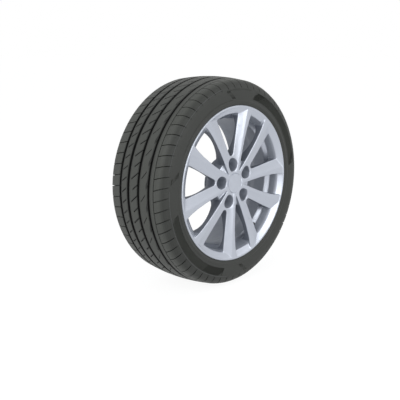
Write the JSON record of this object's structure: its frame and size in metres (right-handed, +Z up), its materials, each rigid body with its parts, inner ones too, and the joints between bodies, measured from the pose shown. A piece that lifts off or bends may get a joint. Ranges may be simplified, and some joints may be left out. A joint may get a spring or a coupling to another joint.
{
  "type": "car tyre on an alloy wheel",
  "caption": "Low-profile road tyre with an asymmetric tread, mounted on a cast alloy wheel with paired spokes, a plain centre cap and a snap-in air valve.",
  "frame": {"origin": "centre of the wheel: on its spin axis, midway between the two sidewalls", "axes": "Y is the spin axis, with -Y out of the street face; +Z is up, and the wheel stands on its tread"},
  "size_m": [0.6344, 0.2308, 0.6334],
  "materials": {
    "tyre_rubber": "matt black rubber, finely grained",
    "wheel_paint": "cast aluminium in silver lacquer",
    "cap_plastic": "moulded plastic in silver lacquer",
    "spring_steel": "bright spring wire",
    "valve_rubber": "smooth black rubber",
    "brass": "turned brass",
    "seal_plastic": "pale sealing ring",
    "cap_black": "moulded black plastic"
  },
  "bodies": {
    "root": {"tyre": "tyre_rubber", "wheel": "wheel_paint", "centre_cap": "cap_plastic", "cap_spring_ring": "spring_steel", "valve_rubber_body": "valve_rubber", "valve_stem": "brass", "valve_core_barrel": "brass", "valve_core_washer": "seal_plastic", "valve_core_pin": "spring_steel", "valve_core_cup": "valve_rubber", "valve_core_spring": "spring_steel", "valve_dust_cap": "cap_black"}
  },
  "joints": []
}
